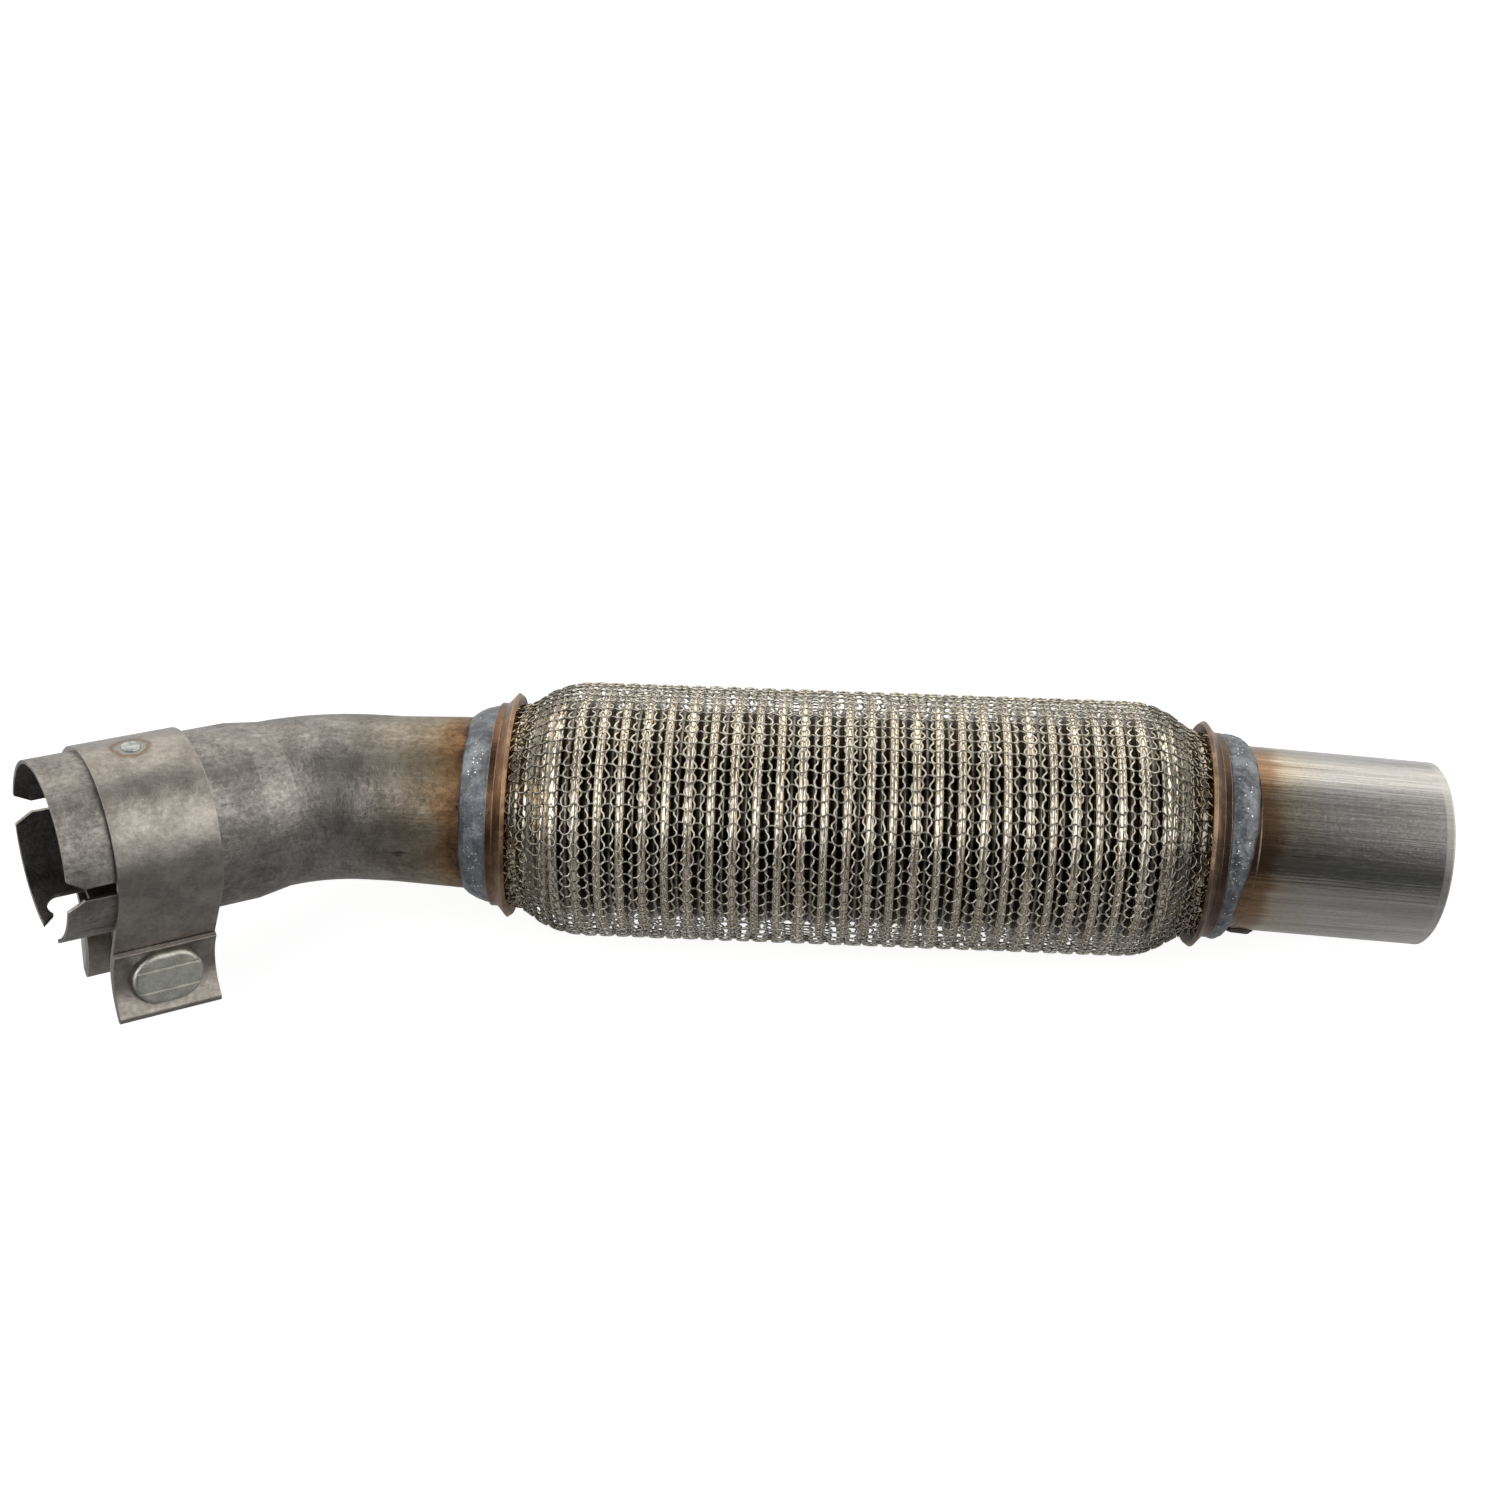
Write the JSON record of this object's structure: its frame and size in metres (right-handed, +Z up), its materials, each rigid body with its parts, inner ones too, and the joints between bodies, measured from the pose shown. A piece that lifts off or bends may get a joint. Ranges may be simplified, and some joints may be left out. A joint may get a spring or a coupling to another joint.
{
  "type": "intermediate exhaust pipe",
  "caption": "Exhaust pipe with a mesh-covered flexible joint, a straight outlet spigot and a bent inlet ending in a slotted socket with a bolted band clamp.",
  "frame": {"origin": "centre of the end face of the outlet spigot", "axes": "+X along the flexible joint from the inlet end to the outlet spigot, +Z up with the pipe lying on its mesh sleeve and clamp ears, -Y the side to which the inlet socket turns"},
  "size_m": [0.419, 0.1104, 0.0892],
  "materials": {
    "inlet_tube": "mottled, heat-tinted mild steel",
    "outlet_tube": "bright drawn steel tube with axial lines",
    "weld_metal": "rippled blue-grey weld",
    "collar_steel": "copper-brown heat tint",
    "bellows_steel": "bright stainless strip",
    "liner_steel": "dull stainless strip",
    "mesh_wire": "bright stainless wire, faintly straw-coloured",
    "clamp_steel": "dull mottled stainless strip",
    "spacer_steel": "dull sintered steel",
    "fastener_steel": "dull plated steel"
  },
  "bodies": {
    "root": {"bent_inlet_pipe": "inlet_tube", "outlet_pipe": "outlet_tube", "inlet_weld_bead": "weld_metal", "outlet_weld_bead": "weld_metal", "inlet_end_collar": "collar_steel", "outlet_end_collar": "collar_steel", "bellows": "bellows_steel", "interlock_liner": "liner_steel", "knit_mesh_sleeve": "mesh_wire", "clamp_band": "clamp_steel", "clamp_spacer": "spacer_steel", "clamp_bolt": "fastener_steel", "clamp_nut": "fastener_steel", "clamp_nut_washer": "fastener_steel", "band_spot_weld": "clamp_steel"}
  },
  "joints": []
}
